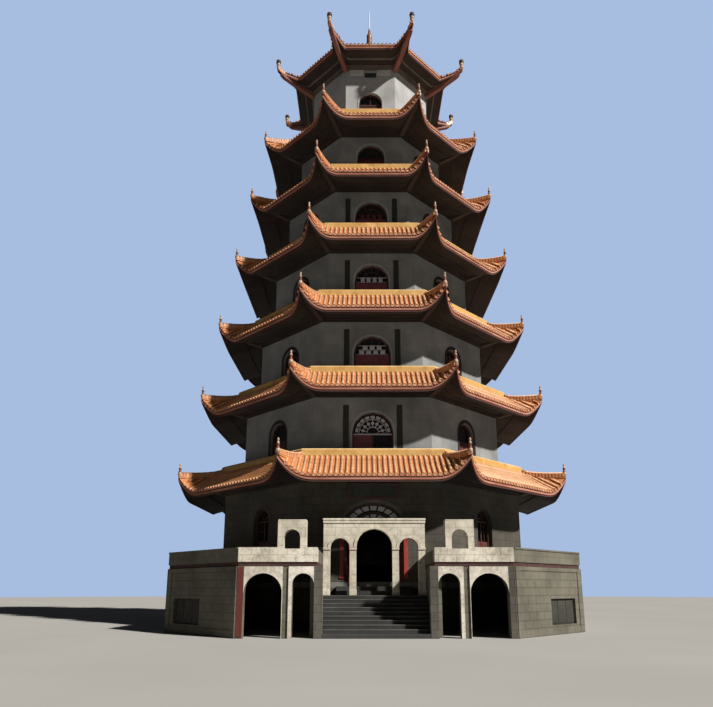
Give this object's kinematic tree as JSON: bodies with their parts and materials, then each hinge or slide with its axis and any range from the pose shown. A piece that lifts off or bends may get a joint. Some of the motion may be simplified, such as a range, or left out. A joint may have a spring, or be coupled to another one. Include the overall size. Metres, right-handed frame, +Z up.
{
  "type": "octagonal pagoda",
  "caption": "Seven-storey octagonal pagoda with swept tiled eaves on an arcaded podium with front stairs, arched gate and two door leaves.",
  "frame": {"origin": "ground level at the tower's vertical axis", "axes": "+Z up, the front with the stairs and the gate faces -Y, +X to the right seen from the front"},
  "size_m": [18.12, 22.4, 37],
  "materials": {
    "glazed_tile": "glazed",
    "rendered_wall": "grey cement render",
    "block_wall": "weathered blocks",
    "pale_blockwork": "pale blocks",
    "concrete": "bare concrete",
    "step_stone": "worn stone",
    "red_paint": "red paint",
    "window_joinery": "painted joinery",
    "dark_board": "dark lacquer"
  },
  "bodies": {
    "root": {"storey_1_wall": "block_wall", "storey_1_windows": "window_joinery", "storey_1_floor": "concrete", "roof_1": "glazed_tile", "storey_2_wall": "rendered_wall", "storey_2_windows": "window_joinery", "storey_2_floor": "concrete", "roof_2": "glazed_tile", "storey_3_wall": "rendered_wall", "storey_3_windows": "window_joinery", "storey_3_floor": "concrete", "roof_3": "glazed_tile", "storey_4_wall": "rendered_wall", "storey_4_windows": "window_joinery", "storey_4_floor": "concrete", "roof_4": "glazed_tile", "storey_5_wall": "rendered_wall", "storey_5_windows": "window_joinery", "storey_5_floor": "concrete", "roof_5": "glazed_tile", "storey_6_wall": "rendered_wall", "storey_6_windows": "window_joinery", "storey_6_floor": "concrete", "roof_6": "glazed_tile", "storey_7_wall": "rendered_wall", "storey_7_windows": "window_joinery", "storey_7_floor": "concrete", "roof_7": "glazed_tile", "front_wall_over_door": "block_wall", "front_wall_left": "block_wall", "front_wall_right": "block_wall", "roof_spire": "glazed_tile", "podium_wall": "block_wall", "podium_front_left": "pale_blockwork", "podium_front_right": "pale_blockwork", "passage_wall_left": "block_wall", "passage_wall_right": "block_wall", "tower_plinth": "block_wall", "terrace_slab": "concrete", "terrace_parapet": "pale_blockwork", "parapet_arch_left": "pale_blockwork", "parapet_arch_right": "pale_blockwork", "front_stairs": "step_stone", "door_steps": "step_stone", "gate_portico": "pale_blockwork", "door_frame": "red_paint", "door_fanlight": "window_joinery", "name_board": "dark_board"},
    "left_leaf": {"door_leaf_left": "red_paint"},
    "right_leaf": {"door_leaf_right": "red_paint"}
  },
  "joints": [
    {"name": "left_leaf_hinge", "type": "hinge", "parent": "root", "child": "left_leaf", "pos_m": [-1.12, -6.5, 1.85], "axis": [0, 0, 1], "range_deg": [-80, 10]},
    {"name": "right_leaf_hinge", "type": "hinge", "parent": "root", "child": "right_leaf", "pos_m": [1.12, -6.5, 1.85], "axis": [0, 0, 1], "range_deg": [-10, 80]}
  ]
}
